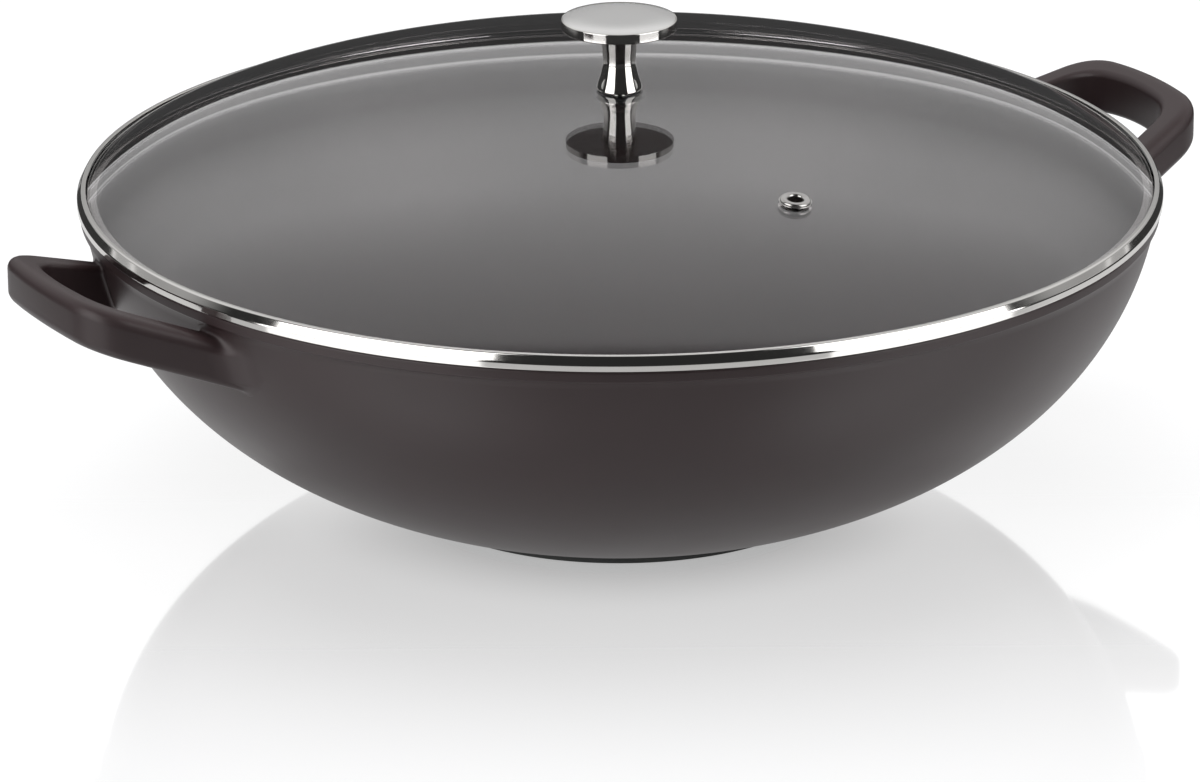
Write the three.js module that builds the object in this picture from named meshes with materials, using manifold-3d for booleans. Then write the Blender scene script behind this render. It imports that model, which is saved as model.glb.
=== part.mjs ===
// A cast iron wok with a glass lid, in millimetres, +Z up, standing on z = 0 with the handles along X.
import * as THREE from "three";
import { mergeVertices } from "three/addons/utils/BufferGeometryUtils.js";
import Module from "manifold-3d";

// Bowl
const rimRadius = 178.4; // outer radius of the wall at the rim
const wokHeight = 104.8; // floor to the top of the rim
const baseRadius = 72.3; // foot disc
const baseStep = 2.3; // height of the upright edge of the foot disc
const wallCentreRise = 12; // centre of the wall's curve above the rim
const wallExponent = 2.085; // 2 would be a plain ellipse
const wallThickness = 4;
const floorThickness = 6;
const rimLip = 0.7; // how far the rim stands out from the wall
const rimLipHeight = 3.5;
const edgeChamfer = 0.6; // broken edges of the casting

// Handles
const handleReach = 36.1; // wall at the rim to the outer face of the grip
const handleHalfWidth = 32.6; // half width across the outer corners
const armFlare = 0.36; // growth of the half width for each millimetre towards the bowl
const gripWidth = 9; // plan width of the grip bar
const armWidth = 11; // plan width of each arm
const gripBow = 3.9; // how far the outer corners fall back behind the middle of the grip
const handleThickness = 15.2; // measured upright
const handleSlope = THREE.MathUtils.degToRad(20); // rise of the handle outwards
const handleDrop = 5.75; // top face of the handle below the rim, where it leaves the wall
const outerCorner = 11.5; // length of the rounding at the outer corners
const innerCorner = 9; // length of the rounding in the finger hole
const rootFillet = 22; // length of the fillet between arm and wall
const handleEdge = 2.8; // rounding of the edges

// Lid rim band and seal
const lidSeatGap = 0.3; // rim band above the rim of the wok
const bandOverhang = 1.6; // rim band past the wall of the wok
const bandSheet = 0.5;
const bandBevelHeight = 2.55; // steep shoulder between the wall of the band and its lip
const bandBevelWidth = 1.45;
const bandLip = 1.55; // flat stretch at the top of the band
const glassCover = 0.8; // part of the lip that lies over the glass
const skirtDepth = 5.6; // skirt below the band
const skirtClearance = 0.8; // skirt to the inside of the wok
const sealGap = 0.3; // seal to glass and band

// Lid glass
const glassThickness = 3.5;
const crownRadius = 662; // curve of the middle of the dome
const shoulderPower = 10; // the higher, the nearer the shoulder lies to the edge
const glassEdgeSlope = THREE.MathUtils.degToRad(34); // slope of the dome where it ends
const glassEdgeGrind = 0.6; // ground corners of the edge
const glassEdgeGap = 0.4; // glass to the band, above and below

// Knob and its fastening
const fit = 0.2; // clearance between the pieces of the knob
const screwRadius = 2.5;
const screwHeadRadius = 4.8;
const screwHeadHeight = 3;
const screwHeadFlat = 3.4; // radius of the flat end of the head
const screwHeadSide = 1.4; // upright side of the head
const screwChamfer = 0.6;
const screwRecess = 1.1; // width of the cross recess
const screwRecessDepth = 1.6;
const screwEngagement = 11; // thread in the stem
const collarWall = 1.2; // silicone collar in the knob hole
const upperWasherRadius = 6.4;
const upperWasherThickness = 0.7;
const lowerWasherRadius = 8.5;
const lowerWasherThickness = 1.2;
const steelWasherRadius = 7.5;
const steelWasherThickness = 0.8;
const stemLength = 19.8; // washer to cap
const stemOverhang = 1; // foot of the stem past its washer
const stemBulge = 0.2; // widest part of the stem past its foot
const stemBulgeHeight = 0.5; // above the foot of the stem
const stemWaistRadius = 5.45;
const stemWaistHeight = 8.9; // above the foot of the stem
const stemHollow = 0.3; // how far the side falls in, halfway from the bulge to the waist
const stemThroatRadius = 5.85; // halfway from the waist to the cap
const stemNeckRadius = 6.4; // flare under the cap
const spigotRadius = 3.2;
const spigotLength = 1.3;
const capRadius = 19.1;
const capEdge = 3.4; // thickness at the edge
const capCrown = 1; // rise of the top in the middle
const capChamfer = 0.5;

// Steam vent
const ventRadius = 107.7; // distance from the middle of the lid
const ventTurn = THREE.MathUtils.degToRad(1.3); // the loose lid lies a little turned
const ventBore = 2.5; // radius of the steam hole
const ventTubeWall = 0.7;
const ventGap = 0.2;
const ventWasherRadius = 5.4;
const ventWasherThickness = 0.35;
const ventRollRadius = 5; // outside of the rolled top
const ventRollHeight = 0.75;
const ventFlare = 4.9; // outside of the flared lower end
const ventFlareHeight = 0.7;

// Facets
const bigFacets = 64;
const knobFacets = 36;
const smallFacets = 24;
const wallSteps = 14;
const capSteps = 6;
const domeSteps = 12;
const arcSteps = 4;
const stemSteps = 16;
const handleCurveSteps = 5;
const edgeSteps = 2;

// Heights and radii that follow from the sizes above
const gripX = rimRadius + handleReach;
const bandRadius = rimRadius + bandOverhang;
const wallCentreZ = wokHeight + wallCentreRise;
const wall = wallCurve();
const cavity = { across: wall.across - wallThickness, down: wall.down - wallThickness };
const edgeSine = Math.sin(glassEdgeSlope);
const edgeCosine = Math.cos(glassEdgeSlope);
const glassEdgeDepth = glassCover * edgeSine + glassThickness * edgeCosine - glassEdgeGrind * edgeSine;
const bandBottom = wokHeight + lidSeatGap;
const bandTop = bandBottom + 2 * bandSheet + 2 * glassEdgeGap + glassEdgeDepth;
const skirtBottom = bandBottom - skirtDepth;
const skirtRadius = curveRadius(cavity, skirtBottom) - skirtClearance;
const lipRadius = bandRadius - bandBevelWidth - bandLip;
const glassEdge = glassEdgePoint();
const shoulderSlope = edgeSine / edgeCosine - glassEdge.x / crownRadius;
const shoulderDrop = (shoulderSlope * glassEdge.x) / shoulderPower;
const crownTop = glassEdge.y + glassEdge.x ** 2 / (2 * crownRadius) + shoulderDrop;
const screwHoleRadius = screwRadius + fit;
const knobHoleRadius = screwHoleRadius + collarWall + fit;
const glassUnderside = crownTop - glassThickness;
const stemFootZ = crownTop + upperWasherThickness + 2 * fit;
const stemFootRadius = upperWasherRadius + stemOverhang;
const capZ = stemFootZ + stemLength;
const lowerWasherZ = glassUnderside - fit - lowerWasherThickness - washerSag(lowerWasherRadius);
const steelWasherZ = lowerWasherZ - fit - steelWasherThickness;
const screwHeadZ = steelWasherZ - fit - screwHeadHeight;
const ventHoleRadius = ventBore + ventTubeWall + ventGap;

const wasm = await Module();
wasm.setup();

// The wall is the superellipse about the axis that runs through the edge of the foot disc and the rim.
function wallCurve() {
  const low = (wallCentreZ - baseStep) ** wallExponent;
  const high = wallCentreRise ** wallExponent;
  const ratio = (baseRadius / rimRadius) ** wallExponent;
  const downInverse = (1 - ratio) / (low - ratio * high);
  const acrossInverse = (1 - high * downInverse) / rimRadius ** wallExponent;
  return { across: acrossInverse ** (-1 / wallExponent), down: downInverse ** (-1 / wallExponent) };
}

function curveRadius(curve, z) {
  const depth = (wallCentreZ - z) / curve.down;
  return curve.across * (1 - depth ** wallExponent) ** (1 / wallExponent);
}

function curvePoints(curve, zLow, zHigh) {
  const angleAt = (z) => Math.asin(((wallCentreZ - z) / curve.down) ** (wallExponent / 2));
  const power = 2 / wallExponent;
  return steps(angleAt(zLow), angleAt(zHigh), wallSteps).map(
    (t) => point(curve.across * Math.cos(t) ** power, wallCentreZ - curve.down * Math.sin(t) ** power),
  );
}

// Upper corner of the edge of the glass, inside the rim band.
function glassEdgePoint() {
  return point(
    lipRadius + glassCover * edgeCosine,
    bandTop - bandSheet - glassEdgeGap - glassCover * edgeSine,
  );
}

function washerSag(radius) {
  return radius ** 2 / (2 * (crownRadius - glassThickness));
}

function point(r, z) {
  return new THREE.Vector2(r, z);
}

function steps(from, to, count) {
  return Array.from({ length: count + 1 }, (_, i) => from + ((to - from) * i) / count);
}

function arc(centreR, centreZ, radius, from, to, count) {
  return steps(from, to, count).map(
    (t) => point(centreR + radius * Math.cos(t), centreZ + radius * Math.sin(t)),
  );
}

// Solid of revolution about Z from an outline that runs counterclockwise in (radius, height).
function revolve(outline, facets) {
  const closed = outline[0].x === 0 ? outline : [...outline, outline[0]];
  const geometry = new THREE.LatheGeometry(closed, facets);
  return geometry.rotateX(Math.PI / 2);
}

function toSolid(geometry) {
  const bare = geometry.clone();
  bare.deleteAttribute("normal");
  bare.deleteAttribute("uv");
  const merged = mergeVertices(bare, 1e-4);
  return new wasm.Manifold(
    new wasm.Mesh({
      numProp: 3,
      vertProperties: merged.attributes.position.array,
      triVerts: new Uint32Array(merged.index.array),
    }),
  );
}

function toGeometry(solid) {
  const { vertProperties, triVerts } = solid.getMesh();
  const geometry = new THREE.BufferGeometry();
  geometry.setAttribute("position", new THREE.BufferAttribute(vertProperties, 3));
  geometry.setIndex(new THREE.BufferAttribute(triVerts, 1));
  geometry.computeVertexNormals();
  return geometry;
}

// One corner of a handle outline: the end of the straight arm, the corner and the start of the grip.
function cornerPoints(reach, bow, halfWidthAt, rounding) {
  const corner = point(reach - bow, halfWidthAt(reach - bow));
  const along = Math.hypot(1, armFlare);
  const armX = corner.x - rounding / along;
  const barY = corner.y - rounding;
  return {
    arm: point(armX, halfWidthAt(armX)),
    corner,
    bar: point(reach - bow * (barY / corner.y) ** 2, barY),
  };
}

function outerHalfWidth(x) {
  return handleHalfWidth + armFlare * (gripX - x);
}

function innerHalfWidth(x) {
  return outerHalfWidth(x) - armWidth * Math.hypot(1, armFlare);
}

// Grip and corners of a loop, from the arm on the -Y side to the arm on the +Y side.
function drawGrip(path, reach, { arm, corner, bar }) {
  path.lineTo(arm.x, -arm.y);
  path.quadraticCurveTo(corner.x, -corner.y, bar.x, -bar.y);
  path.quadraticCurveTo(2 * reach - bar.x, 0, bar.x, bar.y);
  path.quadraticCurveTo(corner.x, corner.y, arm.x, arm.y);
}

function handleShape() {
  const wallX = rimRadius;
  const holeRootX = rimRadius - 3 * wallThickness;
  const rootX = Math.min(rimRadius - rootFillet, holeRootX - 3 * handleEdge);
  const rootY = outerHalfWidth(wallX) + rootFillet;
  const filletX = wallX + rootFillet / 2;
  const shape = new THREE.Shape();
  shape.moveTo(rootX, -rootY);
  shape.quadraticCurveTo(wallX, -outerHalfWidth(wallX), filletX, -outerHalfWidth(filletX));
  drawGrip(shape, gripX, cornerPoints(gripX, gripBow, outerHalfWidth, outerCorner));
  shape.lineTo(filletX, outerHalfWidth(filletX));
  shape.quadraticCurveTo(wallX, outerHalfWidth(wallX), rootX, rootY);
  shape.closePath();

  const holeX = gripX - gripWidth;
  const hole = new THREE.Path();
  hole.moveTo(holeRootX, -innerHalfWidth(holeRootX));
  drawGrip(hole, holeX, cornerPoints(holeX, gripBow, innerHalfWidth, innerCorner));
  hole.lineTo(holeRootX, innerHalfWidth(holeRootX));
  hole.closePath();
  shape.holes.push(hole);
  return shape;
}

// The loop is drawn in plan, raised upright and sheared, so its sides stay upright as cast.
function handleGeometry() {
  const geometry = new THREE.ExtrudeGeometry(handleShape(), {
    depth: handleThickness - 2 * handleEdge,
    bevelThickness: handleEdge,
    bevelSize: handleEdge,
    bevelOffset: -handleEdge,
    bevelSegments: edgeSteps,
    curveSegments: handleCurveSteps,
  });
  geometry.translate(-rimRadius, 0, handleEdge - handleThickness);
  geometry.applyMatrix4(new THREE.Matrix4().makeShear(0, Math.tan(handleSlope), 0, 0, 0, 0));
  return geometry.translate(rimRadius, 0, wokHeight - handleDrop);
}

function wokGeometry() {
  const lipOuter = rimRadius + rimLip;
  const lipBottom = wokHeight - rimLipHeight;
  const outside = [
    point(0, 0),
    point(baseRadius - edgeChamfer, 0),
    point(baseRadius, edgeChamfer),
    ...curvePoints(wall, baseStep, lipBottom - edgeChamfer),
    point(lipOuter, lipBottom),
    point(lipOuter, wokHeight - edgeChamfer),
    point(lipOuter - edgeChamfer, wokHeight),
    point(0, wokHeight),
  ];
  const rimInner = curveRadius(cavity, wokHeight);
  const inside = [
    point(0, floorThickness),
    ...curvePoints(cavity, floorThickness, wokHeight - edgeChamfer),
    point(rimInner + edgeChamfer, wokHeight),
    point(rimInner + edgeChamfer, wokHeight + handleThickness),
    point(0, wokHeight + handleThickness),
  ];
  const handle = handleGeometry();
  const opposite = handle.clone().rotateZ(Math.PI);
  const casting = toSolid(revolve(outside, bigFacets))
    .add(toSolid(handle))
    .add(toSolid(opposite))
    .subtract(toSolid(revolve(inside, bigFacets)));
  return toGeometry(casting);
}

// The dome is a parabola with a shoulder that grows as a high power of the radius.
function domeHeight(r) {
  return crownTop - r ** 2 / (2 * crownRadius) - shoulderDrop * (r / glassEdge.x) ** shoulderPower;
}

function domeSlope(r) {
  return Math.atan(r / crownRadius + shoulderSlope * (r / glassEdge.x) ** (shoulderPower - 1));
}

// Outer or inner face of the dome, from the axis outwards, the given depth below the outer face.
function domeFace(depth, fromRadius) {
  return steps(0, 1, domeSteps).map((t) => {
    const r = glassEdge.x + (fromRadius - glassEdge.x) * (1 - t) ** 2;
    const slope = domeSlope(r);
    return point(r - depth * Math.sin(slope), domeHeight(r) - depth * Math.cos(slope));
  });
}

// The two points where a ground corner leaves the edge face and the face of the dome.
function groundCorner(depth, direction) {
  const corner = point(glassEdge.x - depth * edgeSine, glassEdge.y - depth * edgeCosine);
  const onEdge = point(
    corner.x - direction * glassEdgeGrind * edgeSine,
    corner.y - direction * glassEdgeGrind * edgeCosine,
  );
  const onFace = point(corner.x - glassEdgeGrind * edgeCosine, corner.y + glassEdgeGrind * edgeSine);
  return { onEdge, onFace };
}

function glassGeometry() {
  const under = groundCorner(glassThickness, -1);
  const over = groundCorner(0, 1);
  const outline = [
    ...domeFace(glassThickness, knobHoleRadius).slice(0, -1),
    under.onFace,
    under.onEdge,
    over.onEdge,
    over.onFace,
    ...domeFace(0, knobHoleRadius).reverse().slice(1),
  ];
  const drill = 4 * glassThickness;
  const ventHole = new THREE.CylinderGeometry(ventHoleRadius, ventHoleRadius, drill, smallFacets);
  ventHole.rotateX(Math.PI / 2).applyMatrix4(ventFrame());
  return toGeometry(toSolid(revolve(outline, bigFacets)).subtract(toSolid(ventHole)));
}

function bandGeometry() {
  const lean = Math.atan2(bandBevelWidth, bandBevelHeight); // of the bevel, from upright
  const bevelFoot = bandSheet * Math.tan(lean / 2);
  const bevelHead = bandSheet * Math.tan((Math.PI / 2 - lean) / 2);
  const flangeTop = bandBottom + bandSheet;
  return revolve(
    [
      point(skirtRadius - bandSheet, skirtBottom),
      point(skirtRadius, skirtBottom),
      point(skirtRadius, bandBottom),
      point(bandRadius, bandBottom),
      point(bandRadius, bandTop - bandBevelHeight),
      point(bandRadius - bandBevelWidth, bandTop),
      point(lipRadius, bandTop),
      point(lipRadius, bandTop - bandSheet),
      point(bandRadius - bandBevelWidth - bevelHead, bandTop - bandSheet),
      point(bandRadius - bandSheet, bandTop - bandBevelHeight - bevelFoot),
      point(bandRadius - bandSheet, flangeTop),
      point(skirtRadius - bandSheet, flangeTop),
    ],
    bigFacets,
  );
}

function sealGeometry() {
  const outerR = bandRadius - bandSheet - sealGap;
  const bottom = bandBottom + bandSheet + sealGap;
  const top = bandTop - bandBevelHeight - sealGap;
  const slant = edgeSine / edgeCosine;
  const faceR = glassEdge.x + sealGap / edgeCosine;
  const faceAt = (z) => faceR - (glassEdge.y - z) * slant;
  return revolve(
    [point(faceAt(bottom), bottom), point(outerR, bottom), point(outerR, top), point(faceAt(top), top)],
    bigFacets,
  );
}

function ring(innerRadius, outerRadius, z, height, facets) {
  return revolve(
    [
      point(innerRadius, z),
      point(outerRadius, z),
      point(outerRadius, z + height),
      point(innerRadius, z + height),
    ],
    facets,
  );
}

function lowerWasherGeometry() {
  const top = lowerWasherZ + lowerWasherThickness;
  const collarRadius = knobHoleRadius - fit;
  return revolve(
    [
      point(screwHoleRadius, lowerWasherZ),
      point(lowerWasherRadius, lowerWasherZ),
      point(lowerWasherRadius, top),
      point(collarRadius, top),
      point(collarRadius, crownTop - fit),
      point(screwHoleRadius, crownTop - fit),
    ],
    knobFacets,
  );
}

function stemGeometry() {
  const bulge = point(stemFootRadius + stemBulge, stemFootZ + stemBulgeHeight);
  const waist = point(stemWaistRadius, stemFootZ + stemWaistHeight);
  const hollow = bulge.clone().lerp(waist, 0.5);
  hollow.x -= stemHollow;
  const side = new THREE.SplineCurve([
    point(stemFootRadius, stemFootZ),
    bulge,
    hollow,
    waist,
    point(stemThroatRadius, (waist.y + capZ) / 2),
    point(stemNeckRadius, capZ),
  ]);
  const threadTop = stemFootZ + screwEngagement + fit;
  return revolve(
    [
      point(0, threadTop),
      point(screwHoleRadius, threadTop),
      point(screwHoleRadius, stemFootZ),
      ...side.getSpacedPoints(stemSteps),
      point(spigotRadius, capZ),
      point(spigotRadius, capZ + spigotLength),
      point(0, capZ + spigotLength),
    ],
    knobFacets,
  );
}

function capGeometry() {
  const underside = capZ + fit;
  const socketTop = capZ + spigotLength + fit;
  const edgeTop = underside + capEdge;
  const crown = (capRadius ** 2 + capCrown ** 2) / (2 * capCrown);
  const half = Math.asin(capRadius / crown);
  const up = Math.PI / 2;
  const top = arc(0, edgeTop + capCrown - crown, crown, up - half, up, capSteps).slice(0, -1);
  return revolve(
    [
      point(0, socketTop),
      point(spigotRadius + fit, socketTop),
      point(spigotRadius + fit, underside),
      point(capRadius - capChamfer, underside),
      point(capRadius, underside + capChamfer),
      ...top,
      point(0, edgeTop + capCrown),
    ],
    knobFacets,
  );
}

function screwGeometry() {
  const headTop = screwHeadZ + screwHeadHeight;
  const shankTop = stemFootZ + screwEngagement;
  const body = revolve(
    [
      point(0, screwHeadZ),
      point(screwHeadFlat, screwHeadZ),
      point(screwHeadRadius, headTop - screwHeadSide),
      point(screwHeadRadius, headTop),
      point(screwRadius, headTop),
      point(screwRadius, shankTop - screwChamfer),
      point(screwRadius - screwChamfer, shankTop),
      point(0, shankTop),
    ],
    smallFacets,
  );
  const slot = new THREE.BoxGeometry(screwHeadRadius, screwRecess, 2 * screwRecessDepth);
  slot.translate(0, 0, screwHeadZ);
  const cross = slot.clone().rotateZ(Math.PI / 2);
  return toGeometry(toSolid(body).subtract(toSolid(slot)).subtract(toSolid(cross)));
}

// Frame on the outer face of the glass at the vent, with Z square to the glass.
function ventFrame() {
  const frame = new THREE.Matrix4().makeRotationX(domeSlope(ventRadius));
  frame.setPosition(0, -ventRadius, domeHeight(ventRadius));
  return frame.premultiply(new THREE.Matrix4().makeRotationZ(ventTurn));
}

function eyeletGeometry() {
  const tube = ventBore + ventTubeWall;
  const rollBottom = ventGap + ventWasherThickness + ventGap;
  const rollTop = rollBottom + ventRollHeight;
  const flareTop = -glassThickness - ventGap - ventWasherThickness - ventGap;
  const half = ventRollHeight / 2;
  const up = Math.PI / 2;
  return revolve(
    [
      point(ventBore, flareTop - ventFlareHeight + ventTubeWall / 2),
      point(ventBore + ventTubeWall / 2, flareTop - ventFlareHeight),
      point(ventFlare, flareTop - ventFlareHeight),
      point(ventFlare, flareTop),
      point(tube, flareTop),
      point(tube, rollBottom),
      ...arc(ventRollRadius - half, rollBottom + half, half, -up, up, 2 * arcSteps),
      point(ventBore + half, rollTop),
      point(ventBore, rollTop - half),
    ],
    smallFacets,
  );
}

const castIron = new THREE.MeshStandardMaterial({ color: 0x433e3f, roughness: 0.5, metalness: 0.1 });
const clearGlass = new THREE.MeshStandardMaterial({
  color: 0xdfe6e4,
  roughness: 0.02,
  metalness: 0,
  transparent: true,
  opacity: 0.3,
});
const polishedSteel = new THREE.MeshStandardMaterial({ color: 0xc9c7c4, roughness: 0.08, metalness: 1 });
const satinSteel = new THREE.MeshStandardMaterial({ color: 0xc4c3c2, roughness: 0.35, metalness: 1 });
const silicone = new THREE.MeshStandardMaterial({ color: 0x26272a, roughness: 0.6, metalness: 0 });

function add(group, name, geometry, material) {
  const mesh = new THREE.Mesh(geometry, material);
  mesh.name = name;
  group.add(mesh);
}

function buildLid() {
  const lid = new THREE.Group();
  add(lid, "lid_glass", glassGeometry(), clearGlass);
  add(lid, "lid_rim_band", bandGeometry(), polishedSteel);
  add(lid, "lid_edge_seal", sealGeometry(), silicone);
  const knobRing = (radius, z, height) => ring(screwHoleRadius, radius, z, height, knobFacets);
  const upperWasher = knobRing(upperWasherRadius, crownTop + fit, upperWasherThickness);
  const steelWasher = knobRing(steelWasherRadius, steelWasherZ, steelWasherThickness);
  add(lid, "knob_upper_washer", upperWasher, silicone);
  add(lid, "knob_lower_washer", lowerWasherGeometry(), silicone);
  add(lid, "knob_steel_washer", steelWasher, polishedSteel);
  add(lid, "knob_screw", screwGeometry(), polishedSteel);
  add(lid, "knob_stem", stemGeometry(), polishedSteel);
  add(lid, "knob_cap", capGeometry(), satinSteel);

  const vent = new THREE.Group();
  vent.applyMatrix4(ventFrame());
  const lowerZ = -glassThickness - ventGap - ventWasherThickness;
  const ventRing = (z) => ring(ventHoleRadius, ventWasherRadius, z, ventWasherThickness, smallFacets);
  add(vent, "vent_eyelet", eyeletGeometry(), polishedSteel);
  add(vent, "vent_upper_washer", ventRing(ventGap), polishedSteel);
  add(vent, "vent_lower_washer", ventRing(lowerZ), polishedSteel);
  lid.add(vent);
  return lid;
}

const wok = new THREE.Group();
add(wok, "wok_casting", wokGeometry(), castIron);
wok.add(buildLid());

export default wok;
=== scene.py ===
import math
import bmesh
import bpy
from mathutils import Matrix, Vector


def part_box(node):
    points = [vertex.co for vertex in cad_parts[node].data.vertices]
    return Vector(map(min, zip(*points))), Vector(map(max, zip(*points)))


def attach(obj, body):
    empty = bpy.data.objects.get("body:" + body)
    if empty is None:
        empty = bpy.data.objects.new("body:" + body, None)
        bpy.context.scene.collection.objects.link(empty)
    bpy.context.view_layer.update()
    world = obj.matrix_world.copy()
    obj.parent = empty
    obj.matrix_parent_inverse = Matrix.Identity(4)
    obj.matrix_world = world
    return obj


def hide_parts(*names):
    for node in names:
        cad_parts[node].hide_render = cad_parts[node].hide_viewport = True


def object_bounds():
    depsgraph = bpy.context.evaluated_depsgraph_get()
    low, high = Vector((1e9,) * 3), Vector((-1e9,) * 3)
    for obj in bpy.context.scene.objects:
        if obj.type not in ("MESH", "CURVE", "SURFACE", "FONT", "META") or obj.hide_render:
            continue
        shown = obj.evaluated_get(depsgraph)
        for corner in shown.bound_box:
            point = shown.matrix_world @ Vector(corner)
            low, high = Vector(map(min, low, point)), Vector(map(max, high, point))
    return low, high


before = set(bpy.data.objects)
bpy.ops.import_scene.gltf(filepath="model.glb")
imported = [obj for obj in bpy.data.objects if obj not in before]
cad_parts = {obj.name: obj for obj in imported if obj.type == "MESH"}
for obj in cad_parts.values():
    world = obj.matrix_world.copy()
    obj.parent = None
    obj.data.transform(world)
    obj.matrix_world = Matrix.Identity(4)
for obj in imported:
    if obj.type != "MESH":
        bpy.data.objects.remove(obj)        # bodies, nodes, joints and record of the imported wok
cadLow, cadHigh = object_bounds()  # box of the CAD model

mm = 0.001
weldGap = 1e-6  # m, points closer than this are one
scene = bpy.context.scene
scene.view_settings.view_transform = "Standard"


# Small helpers

def hexLinear(code):  # sRGB hex to linear colour
    srgb = [int(code[i : i + 2], 16) / 255 for i in (1, 3, 5)]
    linear = [c / 12.92 if c <= 0.04045 else ((c + 0.055) / 1.055) ** 2.4 for c in srgb]
    return (*linear, 1.0)


def addNode(tree, kind, settings=None, links=None):  # links: input socket -> output socket or value
    node = tree.nodes.new(kind)
    for key, value in (settings or {}).items():
        setattr(node, key, value)
    for socket, source in (links or {}).items():
        if isinstance(source, bpy.types.NodeSocket):
            tree.links.new(source, node.inputs[socket])
        else:
            node.inputs[socket].default_value = source
    return node


def newMaterial(name):
    material = bpy.data.materials.new(name)
    material.use_nodes = True
    return material, material.node_tree, material.node_tree.nodes["Principled BSDF"]


def spread(start, end, count):
    return [start + (end - start) * i / count for i in range(count + 1)]


def arc(centreR, centreZ, radius, start, end, count):
    return [
        (centreR + radius * math.cos(t), centreZ + radius * math.sin(t))
        for t in spread(start, end, count)
    ]


def rounded(corners, count=6):  # corners (r, z, rounding) of a closed outline, each rounding as an arc
    outline = []
    for i, (r, z, rounding) in enumerate(corners):
        if not rounding:
            outline.append((r, z))
            continue
        here = Vector((r, z))
        back = (Vector(corners[i - 1][:2]) - here).normalized()
        ahead = (Vector(corners[(i + 1) % len(corners)][:2]) - here).normalized()
        half = back.angle(ahead) / 2
        middle = here + (back + ahead).normalized() * rounding / math.sin(half)
        first = here + back * rounding / math.tan(half) - middle
        last = here + ahead * rounding / math.tan(half) - middle
        turn = math.atan2(first.x * last.y - first.y * last.x, first.dot(last))
        start = math.atan2(first.y, first.x)
        outline += arc(middle.x, middle.y, rounding, start, start + turn, count)
    return outline


def meshObject(name, bm, material):
    mesh = bpy.data.meshes.new(name)
    bmesh.ops.recalc_face_normals(bm, faces=bm.faces)
    for face in bm.faces:
        face.smooth = True
    bm.to_mesh(mesh)
    bm.free()
    piece = bpy.data.objects.new(name, mesh)
    piece.data.materials.append(material)
    scene.collection.objects.link(piece)
    return piece


def spin(name, outline, material, segments):  # outline of (radius, height) in mm, turned about Z
    bm = bmesh.new()
    closed = outline if outline[0][0] == 0 else [*outline, outline[0]]
    rings = []
    for i in range(segments):
        turn = 2 * math.pi * i / segments
        c, s = math.cos(turn), math.sin(turn)
        rings.append([bm.verts.new((r * c * mm, r * s * mm, z * mm)) for r, z in closed])
    for i, ring in enumerate(rings):
        after = rings[(i + 1) % segments]
        for j in range(len(closed) - 1):
            bm.faces.new((ring[j], after[j], after[j + 1], ring[j + 1]))
    bmesh.ops.remove_doubles(bm, verts=bm.verts, dist=weldGap)
    return meshObject(name, bm, material)


def evenNormals(piece):  # flat faces stay flat beside narrow roundings
    piece.modifiers.new("even normals", "WEIGHTED_NORMAL").keep_sharp = True


def cut(piece, tool, operation):  # boolean, applied at once
    modifier = piece.modifiers.new(operation.lower(), "BOOLEAN")
    modifier.operation = operation
    modifier.solver = "EXACT"
    modifier.object = tool
    graph = bpy.context.evaluated_depsgraph_get()
    finished = bpy.data.meshes.new_from_object(piece.evaluated_get(graph))
    piece.modifiers.clear()
    piece.data = finished
    bpy.data.objects.remove(tool)


def dress(piece, body, slot, *nodes):
    evenNormals(piece)
    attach(piece, body)
    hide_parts(*nodes)


# Camera, matched to the photograph

cameraSet = {
    "distance": 2300.0,  # mm from the middle of the view
    "elevation": 19.98,
    "azimuth": -29.7,
    "roll": -0.35,
    "aimAcross": -7.04,
    "aimHeight": 33.66,
    "focal": 205.5,
    "sensor": 36.0,
    "clipEnd": 50,  # m
}


def makeCamera(c):
    azimuth, elevation = math.radians(c["azimuth"]), math.radians(c["elevation"])
    level = math.cos(elevation)
    back = Vector((math.sin(azimuth) * level, -math.cos(azimuth) * level, math.sin(elevation)))
    right = Vector((math.cos(azimuth), math.sin(azimuth), 0))
    data = bpy.data.cameras.new("camera")
    data.lens = c["focal"]
    data.sensor_width = c["sensor"]
    data.clip_end = c["clipEnd"]
    camera = bpy.data.objects.new("camera", data)
    camera.rotation_mode = "QUATERNION"
    aim = right * c["aimAcross"] + Vector((0, 0, c["aimHeight"]))
    camera.location = (aim + back * c["distance"]) * mm
    upright = Matrix((right, back.cross(right), back)).transposed()
    rolled = upright @ Matrix.Rotation(math.radians(c["roll"]), 3, "Z")
    camera.rotation_quaternion = rolled.to_quaternion()
    scene.collection.objects.link(camera)
    scene.camera = camera


makeCamera(cameraSet)
print("camera set")


# Materials

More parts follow.
